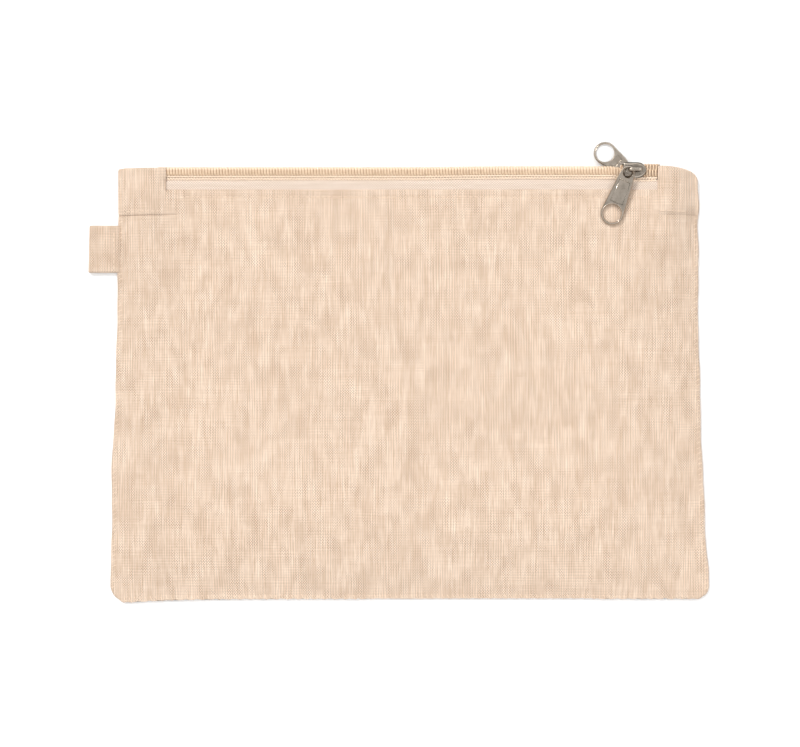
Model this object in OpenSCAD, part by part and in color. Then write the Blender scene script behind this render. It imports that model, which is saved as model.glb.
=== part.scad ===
// Flat canvas zip pouch for cash deposits, lying on its back.
// X runs along the zip, Y towards the zip edge, Z up from the table.

/* [Bag] */
// Width of the bag at its top half, left seam to right seam
top_w = 277.6; // [260:0.2:300]
// How much wider the left side is at the bottom corner
left_flare = 3.8; // [0:0.1:6]
// How much wider the right side is at the bottom corner
right_flare = 5.6; // [0:0.1:8]
// Distance from the origin to the bottom edge
bottom_drop = 103; // [95:0.5:110]
// Distance from the origin up to the folded hems beside the zip
hem_y = 92.4; // [88:0.1:95]
// Radius of the two bottom corners
corner_r = 6; // [3:0.5:12]
// Thickness of the cotton canvas
cloth = 0.8; // [0.6:0.05:1]
// Height of the resting bag at its middle
bag_h = 8; // [7.8:0.1:8.4]

/* [Zip] */
// Left end of the zip opening
zip_x0 = -114.9; // [-116:0.1:-112]
// Right end of the zip opening
zip_x1 = 119.6; // [117:0.1:120]
// Outside radius of one coil half
coil_r = 0.8; // [0.7:0.05:0.85]
// Radius of the cord inside each coil half
coil_cord_r = 0.3; // [0.2:0.05:0.35]
// Thickness of the woven zip tape
tape_t = 0.3; // [0.2:0.05:0.35]

/* [End tabs and loop] */
// Lower edge of the folded end tabs
tab_y0 = 80.6; // [78:0.1:84]
// Upper edge of the folded end tabs
tab_y1 = 104.6; // [104.4:0.1:105.2]
// Width of the fabric loop in the left seam
loop_w = 22; // [18:0.5:26]
// How far the loop stands out of the seam
loop_out = 14.4; // [10:0.2:18]
// Height of the loop's centre line above the origin
loop_y = 64.4; // [40:0.2:70]

/* [Slider and pulls] */
// Length of the slider body
slider_l = 11; // [10:0.1:12]
// Width of the slider body at its open end
slider_w = 7.6; // [7.4:0.1:8]
// Place of the slider's centre along the zip at rest
slider_x = 108.4; // [100:0.1:108.6]
// Thickness of the pulls
pull_t = 1; // [0.8:0.05:1.1]
// Distance from the front pull's pivot to the centre of its ring hole
front_reach = 22.3; // [18:0.1:24]
// Distance from the back pull's pivot to the centre of its ring hole
back_reach = 14.06; // [13:0.01:18]
// Radius of the ring hole at the free end of each pull
ring_hole_r = 4.4; // [3:0.1:4.5]

/* [Hidden] */
$fn = 48;

canvas_col = [0.90, 0.80, 0.70];
tape_col = [0.93, 0.87, 0.80];
coil_col = [0.78, 0.67, 0.55];
thread_col = [0.88, 0.78, 0.68];
nickel_col = [0.66, 0.63, 0.59];

half_w = top_w / 2;
flare_top = 80;                       // the sides start to flare below this height
flare_len = flare_top + bottom_drop;
seam_w = 4;                           // flat stitched border inside the outline
seam_h = 2 * cloth;                   // the two panels pressed together
side_rise = 15;                       // how far in the bag reaches its full height
bottom_rise = 30;

// Heights of the zip's parts
mid_z = bag_h - 1;                    // middle plane of the closed chain
tape_drop = 0.9;                      // the front tape's top, below the panel's top
back_tape_z = cloth;
low_coil_z = 1;
coil_gap = 1.4;                       // half the distance between the meshed coil centres
chain_y = 101.7;                      // centre line of the chain at the slider
front_coil_y = chain_y - coil_gap;
back_coil_y = chain_y + coil_gap;
low_coil_y = 101.4;
cord_bore = coil_cord_r + 0.05;
tape_y0 = 84;
tape_end_x = 131;

// Slider
channel_h = 1.2;                      // half the height of the channel for the chain
plate_t = 0.9;
flange_t = 0.75;
slot_h = 0.5;                         // half the height of the slot for the tape
nose_r = 3.6;
post_l = 3;
post_w = 1.1;
leg_t = 0.9;
leg_x = slider_x - 2.7;
leg_span = 5.4;
front_gap = 2.9;
back_gap = 2.2;
top_z = mid_z + channel_h + plate_t;
low_z = mid_z - channel_h - plate_t;

// Pulls
eye_r = 3.2;
eye_hole_r = 2.4;
eye_off = 1.65;
ring_r = 5.4;
neck_off = 5.6;
neck_r = 4.05;
neck_w = 3.4;
recess_d = 0.2;
front_slant = 21.4;                   // from straight down the bag, towards the left
front_tilt = 4.0;                     // the tail rests on the panel
front_pull_z = top_z + 1.5;
back_azimuth = 140.2;
back_tilt = 9.5;                      // the ring rests on the table
back_pull_z = low_z - 1.1;

function clamp01(t) = max(0, min(1, t));
function flare_at(y, power) = pow(clamp01((flare_top - y) / flare_len), power);
function corner_in(y) = let(d = corner_r - (y + bottom_drop))
    d <= 0 ? 0 : corner_r - sqrt(max(0, corner_r * corner_r - d * d));
function left_x(y) = -half_w + 0.4 - left_flare * flare_at(y, 1.5) + corner_in(y);
function right_x(y) = half_w + 0.4 + right_flare * flare_at(y, 2) - corner_in(y);

// Height of the bag's top surface: flat at the seams, rising to bag_h
function rise(d, len) = let(t = clamp01((d - seam_w) / len)) 1 - (1 - t) * (1 - t);
function top_at(x, y) = seam_h + (bag_h - seam_h)
    * rise(min(x - left_x(y), right_x(y) - x), side_rise) * rise(y + bottom_drop, bottom_rise);

corner_rows = [for (a = [0, 20, 40, 65, 90]) -bottom_drop + corner_r * (1 - cos(a))];
rise_rows = [for (d = [9, 13, 18, 24, 34]) -bottom_drop + d];
side_steps = [0, 4, 6, 8.5, 11.5, 15, 19];

// A closed solid from two grids of points, one above the other
module slab(high, low) {
    rows = len(high);
    cols = len(high[0]);
    count = rows * cols;
    points = concat([for (r = high) each r], [for (r = low) each r]);
    function at(r, c) = r * cols + c;
    top_faces = [for (r = [0:rows - 2], c = [0:cols - 2])
        each [[at(r, c), at(r + 1, c), at(r, c + 1)], [at(r + 1, c), at(r + 1, c + 1), at(r, c + 1)]]];
    low_faces = [for (f = top_faces) [f[0] + count, f[2] + count, f[1] + count]];
    rim = concat(
        [for (c = [0:cols - 1]) at(0, c)],
        [for (r = [1:rows - 1]) at(r, cols - 1)],
        [for (c = [cols - 2:-1:0]) at(rows - 1, c)],
        [for (r = [rows - 2:-1:1]) at(r, 0)]
    );
    rim_faces = [for (i = [0:len(rim) - 1]) let(a = rim[i], b = rim[(i + 1) % len(rim)])
        each [[a, b, a + count], [b, b + count, a + count]]];
    polyhedron(points, concat(top_faces, low_faces, rim_faces));
}

// A piece of cloth on the bag's top surface; its underside is level where floor_z is given
module patch(xs, ys, lift, thick, floor_z = -1) {
    slab([for (y = ys) [for (x = xs) [x, y, top_at(x, y) + lift]]],
         [for (y = ys) [for (x = xs) [x, y, floor_z >= 0 ? floor_z : top_at(x, y) + lift - thick]]]);
}

// Outline points down one side and along the rows of the other
function side_points(ys, side) = [for (y = ys) [side < 0 ? left_x(y) : right_x(y), y]];
function reversed(list) = [for (i = [len(list) - 1:-1:0]) list[i]];

// A flat strip that follows a side seam
module seam_strip(side, inset, width) {
    ys = [for (y = [-90:17:80]) y];
    edge = [for (p = side_points(ys, side)) [p[0] - side * inset, p[1]]];
    far = [for (p = side_points(ys, side)) [p[0] - side * (inset + width), p[1]]];
    polygon(concat(edge, reversed(far)));
}

// ---- cloth ----

module back_panel() {
    ys = concat(corner_rows, [for (y = [-80:20:tab_y0 - 1]) y], [tab_y0]);
    color(canvas_col) linear_extrude(cloth) polygon(concat(
        side_points(ys, 1),
        [[zip_x1, tab_y0], [zip_x1, hem_y], [zip_x0, hem_y], [zip_x0, tab_y0]],
        reversed(side_points(ys, -1))
    ));
}

module front_panel() {
    ys = concat(corner_rows, rise_rows, [-20, 30, hem_y]);
    function row_x(y) = let(l = left_x(y), r = right_x(y)) concat(
        [for (d = side_steps) l + d], [0], [for (d = reversed(side_steps)) r - d]);
    color(canvas_col) slab(
        [for (y = ys) [for (x = row_x(y)) [x, y, top_at(x, y)]]],
        [for (y = ys) [for (x = row_x(y)) [x, y, max(cloth, top_at(x, y) - cloth)]]]
    );
}

// Folded cloth over the end of the zip: in front, round the top edge and behind
module end_tab(x_seam, x_fold) {
    side_in = sign(x_fold - x_seam);
    span = abs(x_fold - x_seam);
    steps = [for (d = side_steps) if (d < span - 2) x_seam + side_in * d];
    xs = side_in > 0 ? concat(steps, [x_fold]) : concat([x_fold], reversed(steps));
    wall = 0.6;
    patch(xs, [tab_y0, tab_y1], 0.3 + cloth, cloth);
    patch(xs, [tab_y1 - wall, tab_y1], 0.3 + cloth, cloth, 0);
    translate([min(x_seam, x_fold), tab_y0, 0]) cube([span, tab_y1 - tab_y0, cloth]);
}

module left_end_tab() color(canvas_col) end_tab(left_x(tab_y1), zip_x0);
module right_end_tab() color(canvas_col) end_tab(right_x(tab_y1), zip_x1);

loop_z = 1.8;
loop_fold_r = 1.6;
loop_tip_x = left_x(loop_y) - loop_out;
loop_root_x = left_x(loop_y) - 1.2;

module loop_profile(r) {
    reach = loop_root_x - loop_tip_x - loop_fold_r;
    translate([loop_tip_x + loop_fold_r, 0]) {
        circle(r);
        translate([0, -r]) square([reach, 2 * r]);
    }
}

module side_loop() {
    color(canvas_col) translate([0, loop_y + loop_w / 2, loop_z]) rotate([90, 0, 0])
        linear_extrude(loop_w) difference() {
            loop_profile(loop_fold_r);
            loop_profile(loop_fold_r - cloth);
        }
}

// ---- zip ----

module front_zip_tape() {
    xs = [-tape_end_x, -127, -123, zip_x0, zip_x1, 123, 127, tape_end_x];
    color(tape_col) patch(xs, [tape_y0, front_coil_y - 0.6], -tape_drop, tape_t);
}

module back_zip_tape() {
    color(tape_col) translate([-tape_end_x, tape_y0, back_tape_z])
        cube([2 * tape_end_x, low_coil_y - 0.6 - tape_y0, tape_t]);
}

front_coil_x0 = zip_x0 - 3.6;
chain_x1 = zip_x1 + 3.4;

module front_rod(r) {
    translate([front_coil_x0, front_coil_y, mid_z]) rotate([0, 90, 0])
        cylinder(h = chain_x1 - front_coil_x0, r = r);
}

module front_zip_coil() {
    color(coil_col) difference() {
        front_rod(coil_r);
        front_rod(cord_bore);
    }
}

module front_coil_cord() color("white") front_rod(coil_cord_r);

// The back half lies low in the open mouth and climbs into the slider
back_coil_x0 = zip_x0 + 0.2;
climb_x0 = 90;
climb_x1 = 102;
climb_steps = 8;
function ease(t) = t * t * (3 - 2 * t);
function climb_point(t) = [
    climb_x0 + (climb_x1 - climb_x0) * t,
    low_coil_y + (back_coil_y - low_coil_y) * ease(t),
    low_coil_z + (mid_z - low_coil_z) * ease(t)
];
back_path = concat([[back_coil_x0, low_coil_y, low_coil_z]],
    [for (i = [0:climb_steps]) climb_point(i / climb_steps)],
    [[chain_x1, back_coil_y, mid_z]]);

// A round rod along a path that runs towards +X
module swept_rod(path, r) {
    sides = 10;
    last = len(path) - 1;
    rings = [for (p = path) [for (i = [0:sides - 1]) let(a = 360 * i / sides)
        [p[0], p[1] + r * cos(a), p[2] + r * sin(a)]]];
    walls = [for (k = [0:last - 1], i = [0:sides - 1])
        let(a = k * sides + i, b = k * sides + (i + 1) % sides)
        each [[a, a + sides, b], [b, a + sides, b + sides]]];
    start_cap = [[for (i = [0:sides - 1]) i]];
    end_cap = [[for (i = [sides - 1:-1:0]) last * sides + i]];
    polyhedron([for (ring = rings) each ring], concat(walls, start_cap, end_cap));
}

module back_zip_coil() {
    color(coil_col) difference() {
        swept_rod(back_path, coil_r);
        swept_rod([for (i = [0:len(back_path) - 1]) back_path[i]
            + (i == 0 ? [-1, 0, 0] : i == len(back_path) - 1 ? [1, 0, 0] : [0, 0, 0])], cord_bore);
    }
}

module back_coil_cord() color("white") swept_rod(back_path, coil_cord_r);

// ---- slider ----

module slider_outline() {
    x0 = slider_x - slider_l / 2;
    nose_x = slider_x + slider_l / 2 - nose_r;
    translate([nose_x, chain_y]) circle(nose_r);
    polygon([[x0, chain_y - slider_w / 2], [nose_x, chain_y - nose_r],
        [nose_x, chain_y + nose_r], [x0, chain_y + slider_w / 2]]);
}

module flange(side) {
    x0 = slider_x - slider_l / 2;
    length = slider_l - nose_r - 0.4;
    y0 = side < 0 ? chain_y - nose_r : chain_y + nose_r - flange_t;
    for (z0 = [mid_z - channel_h, mid_z + slot_h])
        translate([x0, y0, z0]) cube([length, flange_t, channel_h - slot_h]);
}

module slider_body() {
    color(nickel_col) union() {
        translate([0, 0, mid_z + channel_h]) linear_extrude(plate_t) slider_outline();
        translate([0, 0, low_z]) linear_extrude(plate_t) slider_outline();
        flange(-1);
        flange(1);
        translate([slider_x - slider_l / 2 + 0.6, chain_y - post_w / 2, mid_z - channel_h])
            cube([post_l, post_w, 2 * channel_h]);
    }
}

// Two legs and a bar; the pull's eye goes round the left leg
module bridge(gap) {
    translate([leg_x - leg_t / 2, chain_y - leg_t / 2, 0]) {
        cube([leg_t, leg_t, gap]);
        translate([leg_span, 0, 0]) cube([leg_t, leg_t, gap]);
        translate([0, 0, gap]) cube([leg_span + leg_t, leg_t, leg_t]);
    }
}

module front_bridge() color(nickel_col) translate([0, 0, top_z]) bridge(front_gap);
module back_bridge() color(nickel_col) translate([0, 0, low_z]) mirror([0, 0, 1]) bridge(back_gap);

// A pull along +X, its pivot at the origin
module pull(reach) {
    body_x0 = eye_off + eye_hole_r + 1.4;
    body_x1 = reach - ring_hole_r - 1.6;
    recess_half = neck_w - 1;
    difference() {
        translate([0, 0, -pull_t / 2]) linear_extrude(pull_t) union() {
            translate([eye_off, 0]) circle(eye_r);
            translate([reach, 0]) circle(ring_r);
            polygon([[eye_off, -eye_r], [neck_off, -neck_r], [reach, -ring_r],
                     [reach, ring_r], [neck_off, neck_r], [eye_off, eye_r]]);
        }
        translate([eye_off, 0, -pull_t]) cylinder(h = 2 * pull_t, r = eye_hole_r);
        translate([reach, 0, -pull_t]) cylinder(h = 2 * pull_t, r = ring_hole_r);
        for (z0 = [pull_t / 2 - recess_d, -pull_t / 2 - 1])
            translate([body_x0, -recess_half, z0 + (z0 < 0 ? recess_d : 0)])
                cube([max(1, body_x1 - body_x0), 2 * recess_half, 1]);
    }
}

module front_pull() {
    color(nickel_col) translate([leg_x, chain_y, front_pull_z])
        rotate([0, 0, -90 - front_slant]) rotate([0, front_tilt, 0]) pull(front_reach);
}

module back_pull() {
    color(nickel_col) translate([leg_x, chain_y, back_pull_z])
        rotate([0, 0, back_azimuth]) rotate([0, back_tilt, 0]) pull(back_reach);
}

// ---- stitching ----

hem_line_y = 88.9;
coil_line_y = 97;
thread_w = 0.45;
thread_t = 0.2;

module zip_line(y, z) {
    color(thread_col) translate([zip_x0 + 1, y, z]) cube([zip_x1 - zip_x0 - 2, thread_w, thread_t]);
}

module front_hem_thread() zip_line(hem_line_y, bag_h);
module back_hem_thread() zip_line(hem_line_y, back_tape_z + tape_t);
module front_coil_thread() zip_line(coil_line_y, bag_h - tape_drop);
module back_coil_thread() zip_line(coil_line_y, back_tape_z + tape_t);

tab_line_y = tab_y0 + 1.4;
module tab_line(xs) {
    color(thread_col) patch(xs, [tab_line_y, tab_line_y + thread_w], 0.3 + cloth + thread_t, thread_t);
}
tab_steps = [4, 6, 8.5, 11.5, 15, 17];
module left_tab_thread() tab_line([for (d = tab_steps) -half_w + 0.4 + d]);
module right_tab_thread() tab_line([for (d = reversed(tab_steps)) half_w + 0.4 - d]);

seam_inset = 1.5;
module left_seam_thread()
    color(thread_col) translate([0, 0, seam_h]) linear_extrude(thread_t) seam_strip(-1, seam_inset, thread_w);
module right_seam_thread()
    color(thread_col) translate([0, 0, seam_h]) linear_extrude(thread_t) seam_strip(1, seam_inset, thread_w);
module bottom_seam_thread() {
    x0 = left_x(-bottom_drop) + 2;
    x1 = right_x(-bottom_drop) - 2;
    color(thread_col) translate([x0, seam_inset - bottom_drop, seam_h]) cube([x1 - x0, thread_w, thread_t]);
}

module loop_thread() {
    color(thread_col) translate([loop_root_x - 1.2, loop_y - loop_w / 2 + 1, loop_z + loop_fold_r])
        cube([thread_w, loop_w - 2, thread_t]);
}

back_panel();
front_panel();
left_end_tab();
right_end_tab();
side_loop();
front_zip_tape();
back_zip_tape();
front_zip_coil();
back_zip_coil();
front_coil_cord();
back_coil_cord();
slider_body();
front_bridge();
back_bridge();
front_pull();
back_pull();
front_hem_thread();
back_hem_thread();
front_coil_thread();
back_coil_thread();
left_tab_thread();
right_tab_thread();
left_seam_thread();
right_seam_thread();
bottom_seam_thread();
loop_thread();
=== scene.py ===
"""Looks of the flat canvas zip pouch. Lengths are in millimetres here and become metres in the meshes."""
import math

import bpy
import numpy as np
from mathutils import Matrix, Vector


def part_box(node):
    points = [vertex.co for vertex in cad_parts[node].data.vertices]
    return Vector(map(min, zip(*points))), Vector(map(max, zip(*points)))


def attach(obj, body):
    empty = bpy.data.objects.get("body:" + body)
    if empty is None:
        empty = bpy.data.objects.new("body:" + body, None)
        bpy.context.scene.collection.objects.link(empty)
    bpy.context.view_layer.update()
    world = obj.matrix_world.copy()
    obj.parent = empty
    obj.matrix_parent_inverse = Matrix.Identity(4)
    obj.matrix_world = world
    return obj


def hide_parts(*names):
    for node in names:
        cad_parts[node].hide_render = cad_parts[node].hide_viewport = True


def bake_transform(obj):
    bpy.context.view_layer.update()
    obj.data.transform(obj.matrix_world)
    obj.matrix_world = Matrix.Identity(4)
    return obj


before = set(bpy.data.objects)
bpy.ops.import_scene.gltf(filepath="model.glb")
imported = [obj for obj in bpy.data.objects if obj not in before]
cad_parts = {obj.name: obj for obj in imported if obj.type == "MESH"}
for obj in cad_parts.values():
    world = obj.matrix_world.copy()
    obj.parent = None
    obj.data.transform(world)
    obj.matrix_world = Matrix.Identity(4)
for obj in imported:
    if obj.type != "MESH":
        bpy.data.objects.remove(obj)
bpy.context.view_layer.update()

MM = 0.001
CLOTH = 0.55                     # visible cloth thickness
TAPE = 0.3                       # thickness of the zip's tapes
GAP = 0.02                       # the lowest faces lie this far above z 0, and the table this far under it
HEM_STITCH_Y = 88.9
TAPE_GROOVE_Y = 98.3             # groove in the front tape, just outside the closed chain
PITCH = 1.4                      # of the coil's turns
WIRE = 0.46                      # radius of the coil's wire
COIL_REACH = 1.5                 # from the middle of a coil half to its wire's centre
CLOTH_RIM = 0.45                 # how round a cut or folded edge is, as a share of its thickness
TAPE_RIM = 0.4
TAB_TURN = 1.3                   # radius of the tabs' fold over the top edge
TAB_STITCH = 1.6                 # from a tab's foot to its row of stitches
LOOP_Z = 1.25                    # middle height of the side loop
STITCH_PITCH = 2.6
STITCH_LENGTH = 2.1


# ---------------------------------------------------------------- frame places

def box_mm(node):
    low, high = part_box(node)
    return np.array(low) / MM, np.array(high) / MM


def side_profile(node):
    """Heights of a panel's outline points, with its left and right x at each."""
    points = np.array([v.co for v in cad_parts[node].data.vertices]) / MM
    heights = np.unique(np.round(points[:, 1], 2))
    rows = [points[np.abs(points[:, 1] - y) < 0.02] for y in heights]
    wide = [i for i, row in enumerate(rows) if np.ptp(row[:, 0]) > 250]
    return (heights[wide], np.array([rows[i][:, 0].min() for i in wide]),
            np.array([rows[i][:, 0].max() for i in wide]))


PANEL_LOW, PANEL_HIGH = box_mm("front_panel")
LEFT_TAB = box_mm("left_end_tab")
RIGHT_TAB = box_mm("right_end_tab")
LOOP = box_mm("side_loop")
SLIDER = box_mm("slider_body")
HEM_Y = PANEL_HIGH[1]
TOP_Z = PANEL_HIGH[2]
BOTTOM_Y = PANEL_LOW[1]
SEAM_Z = 1.6                     # height of the sewn edge
CORNER_R = 6.0
ZIP_X0 = LEFT_TAB[1][0]
ZIP_X1 = RIGHT_TAB[0][0]
COIL_END = ZIP_X1 + 0.7          # just under the right tab
TAPE_START = -131                # under the left tab
MOUTH_END = 97                   # here the open mouth begins to close towards the slider
TAB_Y0 = LEFT_TAB[0][1]
TAB_Y1 = LEFT_TAB[1][1]
MID_Z = (SLIDER[0][2] + SLIDER[1][2]) / 2
SLIDER_X = (SLIDER[0][0] + SLIDER[1][0]) / 2
CHAIN_Y = (SLIDER[0][1] + SLIDER[1][1]) / 2
OPEN_SHIFT = 0.9                 # the free front coil sits about this much further out than the closed chain
FRONT_MID_Y = CHAIN_Y - 1.25     # middles of the two coil halves in the closed chain
BACK_MID_Y = CHAIN_Y + 1.25
LOW_MID_Y = 100.5                # middle of the back coil half in the open mouth, low behind the front one
LOW_MID_Z = 0.95

ROW_Y, ROW_LEFT, ROW_RIGHT = side_profile("back_panel")
STRAIGHT = ROW_Y > BOTTOM_Y + CORNER_R - 0.5


def smooth(t):
    """0 below 0, 1 above 1 and an even slope between."""
    t = np.clip(t, 0, 1)
    return t * t * (3 - 2 * t)


def wave(x, *terms):
    """A sum of sines: each term is amplitude, wavelength in mm, phase."""
    return sum(a * np.sin(2 * math.pi * x / length + phase) for a, length, phase in terms)


def bell(distance, width):
    return np.exp(-(distance / width) ** 2)


def corner_inset(y):
    """How far a rounded bottom corner cuts in from the side seam's line."""
    d = np.clip(CORNER_R - (y - BOTTOM_Y), 0, CORNER_R)
    return CORNER_R - np.sqrt(CORNER_R ** 2 - d ** 2)


def left_x(y):
    """The left side seam."""
    wobble = wave(y, (0.16, 47, 0.4), (0.09, 19, 2.0)) * smooth((95 - y) / 20)
    bulge = 0.95 * bell(y + 42, 24)
    return np.interp(y, ROW_Y[STRAIGHT], ROW_LEFT[STRAIGHT]) + corner_inset(y) - wobble - bulge


def right_x(y):
    """The right side seam."""
    wobble = wave(y, (0.18, 52, 1.4), (0.1, 21, 0.3)) * smooth((95 - y) / 20)
    bulge = 0.9 * bell(y - 85, 7) + 0.4 * bell(y - 63, 9) + 0.7 * bell(y + 89, 6)
    return np.interp(y, ROW_Y[STRAIGHT], ROW_RIGHT[STRAIGHT]) - corner_inset(y) + wobble + bulge


def seam_bumps(x):
    """How far the overlocked bottom edge pushes out along its length."""
    busy = 0.3 + 0.7 * (smooth((-12 - x) / 12) + smooth((x - 84) / 12))
    bumps = 0.5 * np.abs(np.sin(math.pi * (x + wave(x, (0.7, 23, 0.3))) / 4.6)) ** 1.3 * busy
    corner = 1.8 * np.exp(-((np.minimum(x, -134) + 134) / 6.0) ** 2 - np.maximum(x + 134, 0) / 22.0)
    return bumps + corner


# ---------------------------------------------------------------- cloth surface

def rise(d, length):
    """How the puff grows, 0 to 1, with the distance in from a seam."""
    t = np.clip((d - 1.5) / length, 0, 1)
    return 1 - (1 - t) ** 2


def top_z(x, y):
    """Height of the bag's front face."""
    side_len = 16 + 34 * smooth((84 - y) / 60)
    full = rise(x - left_x(y), side_len) * rise(right_x(y) - x, side_len) * rise(y - BOTTOM_Y, 46)
    slack = (wave(x + 0.35 * y, (0.20, 83, 0.3), (0.12, 37, 1.9), (0.06, 17, 0.5))
             + wave(y - 0.25 * x, (0.16, 71, 2.2), (0.08, 29, 0.7)))
    slack = (slack - 0.6) * smooth((HEM_Y - 6 - y) / 26) * full
    gather = wave(x, (0.05, 6.1, 0.2), (0.04, 8.7, 1.1), (0.03, 4.3, 2.0))
    gather = (gather - 0.1) * bell(HEM_Y - 7 - y, 7) * full
    return SEAM_Z + (TOP_Z - SEAM_Z) * full + slack + gather


class Builder:
    """Collects the vertices and faces of one piece."""

    def __init__(self):
        self.verts = []
        self.faces = []

    def tube(self, path, radius, sides=8, closed=False, flat=1.0):
        """A round bar along a path; flat below 1 makes it lower than it is wide."""
        path = np.asarray(path, float)
        n = len(path)
        if closed:
            tangent = np.roll(path, -1, 0) - np.roll(path, 1, 0)
        else:
            tangent = np.gradient(path, axis=0)
        tangent /= np.linalg.norm(tangent, axis=1)[:, None]
        up = np.array([0, 0, 1.0])
        side = np.cross(tangent, up)
        weak = np.linalg.norm(side, axis=1) < 0.2
        side[weak] = np.cross(tangent[weak], np.array([0, 1.0, 0]))
        for i in range(1, n):
            if side[i] @ side[i - 1] < 0:
                side[i] = -side[i]
        side /= np.linalg.norm(side, axis=1)[:, None]
        rise_dir = np.cross(side, tangent)
        base = len(self.verts)
        angles = np.linspace(0, 2 * math.pi, sides, endpoint=False)
        radii = np.broadcast_to(radius, n)
        for i in range(n):
            for a in angles:
                offset = math.cos(a) * side[i] + flat * math.sin(a) * rise_dir[i]
                self.verts.append(path[i] + radii[i] * offset)
        spans = n if closed else n - 1
        for i in range(spans):
            a0 = base + i * sides
            b0 = base + ((i + 1) % n) * sides
            for k in range(sides):
                k1 = (k + 1) % sides
                self.faces.append((a0 + k, a0 + k1, b0 + k1, b0 + k))
        if not closed:
            self.faces.append(tuple(base + k for k in reversed(range(sides))))
            self.faces.append(tuple(base + (n - 1) * sides + k for k in range(sides)))

    def slab(self, high, low, bulge):
        """A closed sheet between two grids of points; bulge rounds its rim, as a share of the thickness."""
        rows, cols = high.shape[:2]
        base = len(self.verts)
        self.verts.extend(high.reshape(-1, 3))
        self.verts.extend(low.reshape(-1, 3))
        count = rows * cols

        def at(r, c):
            return base + r * cols + c

        for r in range(rows - 1):
            for c in range(cols - 1):
                quad = (at(r, c), at(r, c + 1), at(r + 1, c + 1), at(r + 1, c))
                self.faces.append(quad)
                self.faces.append(tuple(i + count for i in reversed(quad)))
        rim = [(0, c) for c in range(cols)] + [(r, cols - 1) for r in range(1, rows)]
        rim += [(rows - 1, c) for c in range(cols - 2, -1, -1)] + [(r, 0) for r in range(rows - 2, 0, -1)]
        start = len(self.verts)
        for r, c in rim:
            inner = (min(max(r, 1), rows - 2), min(max(c, 1), cols - 2))
            out = (high[r, c] + low[r, c]) / 2 - (high[inner] + low[inner]) / 2
            out /= max(np.linalg.norm(out), 1e-6)
            thick = np.linalg.norm(high[r, c] - low[r, c])
            self.verts.append((high[r, c] + low[r, c]) / 2 + out * thick * bulge)
        for i, (r, c) in enumerate(rim):
            r1, c1 = rim[(i + 1) % len(rim)]
            m0 = start + i
            m1 = start + (i + 1) % len(rim)
            self.faces.append((at(r1, c1), at(r, c), m0, m1))
            self.faces.append((m1, m0, at(r, c) + count, at(r1, c1) + count))

    def piece(self, name, material, body=None, node=None):
        """The finished object: its body and the CAD node that it stands in for."""
        mesh = bpy.data.meshes.new(name)
        mesh.from_pydata([tuple(float(c) * MM for c in v) for v in self.verts], [], self.faces)
        mesh.validate()
        mesh.polygons.foreach_set("use_smooth", [True] * len(mesh.polygons))
        mesh.materials.append(material)
        made = bpy.data.objects.new(name, mesh)
        bpy.context.scene.collection.objects.link(made)
        if body:
            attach(made, body)
        if node:
            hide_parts(node)
        return made


def grid(x, y, z):
    return np.stack([x, y, z], -1)


# ---------------------------------------------------------------- materials

class Graph:
    """Short names for building a material's nodes."""

    def __init__(self, name):
        self.material = bpy.data.materials.new(name)
        self.material.use_nodes = True
        self.tree = self.material.node_tree
        self.shader = self.tree.nodes["Principled BSDF"]

    def parts(self, value):
        """The three parts of a vector or a colour."""
        split = self.node("ShaderNodeSeparateXYZ")
        self.put(split.inputs[0], value)
        return split.outputs

    def put(self, socket, value):
        if isinstance(value, bpy.types.NodeSocket):
            self.tree.links.new(value, socket)
        else:
            socket.default_value = value

    def node(self, kind, **settings):
        made = self.tree.nodes.new(kind)
        for key, value in settings.items():
            setattr(made, key, value)
        return made

    def math(self, operation, a, b=0.0, c=0.0):
        made = self.node("ShaderNodeMath", operation=operation)
        for socket, value in zip(made.inputs, (a, b, c)):
            self.put(socket, value)
        return made.outputs[0]

    def coords(self, scale):
        """Object coordinates in millimetres, times scale along each axis."""
        where = self.node("ShaderNodeTexCoord").outputs["Object"]
        mapping = self.node("ShaderNodeMapping")
        self.put(mapping.inputs["Vector"], where)
        mapping.inputs["Scale"].default_value = [s / MM for s in scale]
        return mapping.outputs[0]

    def axes(self, scale):
        return self.parts(self.coords(scale))

    def noise(self, scale, detail=2.0, rough=0.5):
        made = self.node("ShaderNodeTexNoise")
        self.put(made.inputs["Vector"], self.coords(scale))
        made.inputs["Scale"].default_value = 1.0
        made.inputs["Detail"].default_value = detail
        made.inputs["Roughness"].default_value = rough
        return made.outputs["Fac"]

    def spread(self, value, low, high, to_low=0.0, to_high=1.0):
        made = self.node("ShaderNodeMapRange")
        for key, number in zip(("Value", "From Min", "From Max", "To Min", "To Max"),
                               (value, low, high, to_low, to_high)):
            self.put(made.inputs[key], number)
        return made.outputs[0]

    def mix(self, share, a, b, blend="MIX"):
        made = self.node("ShaderNodeMix", data_type="RGBA", blend_type=blend)
        self.put(made.inputs[0], share)
        self.put(made.inputs[6], a)
        self.put(made.inputs[7], b)
        return made.outputs[2]

    def bump(self, height, distance, strength=1.0, after=None):
        made = self.node("ShaderNodeBump")
        made.inputs["Strength"].default_value = strength
        made.inputs["Distance"].default_value = distance * MM
        self.put(made.inputs["Height"], height)
        if after is not None:
            self.put(made.inputs["Normal"], after)
        return made.outputs[0]

    def done(self, roughness, normal, color=None, **settings):
        if color is not None:
            self.put(self.shader.inputs["Base Color"], color)
        self.put(self.shader.inputs["Roughness"], roughness)
        self.put(self.shader.inputs["Normal"], normal)
        for key, value in settings.items():
            self.shader.inputs[key.replace("_", " ")].default_value = value
        return self.material


def color(r, g, b):
    """An sRGB colour from 0 to 255 as the linear colour that a shader takes."""
    def linear(v):
        v /= 255
        return v / 12.92 if v <= 0.04045 else ((v + 0.055) / 1.055) ** 2.4
    return (linear(r), linear(g), linear(b), 1.0)


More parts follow.
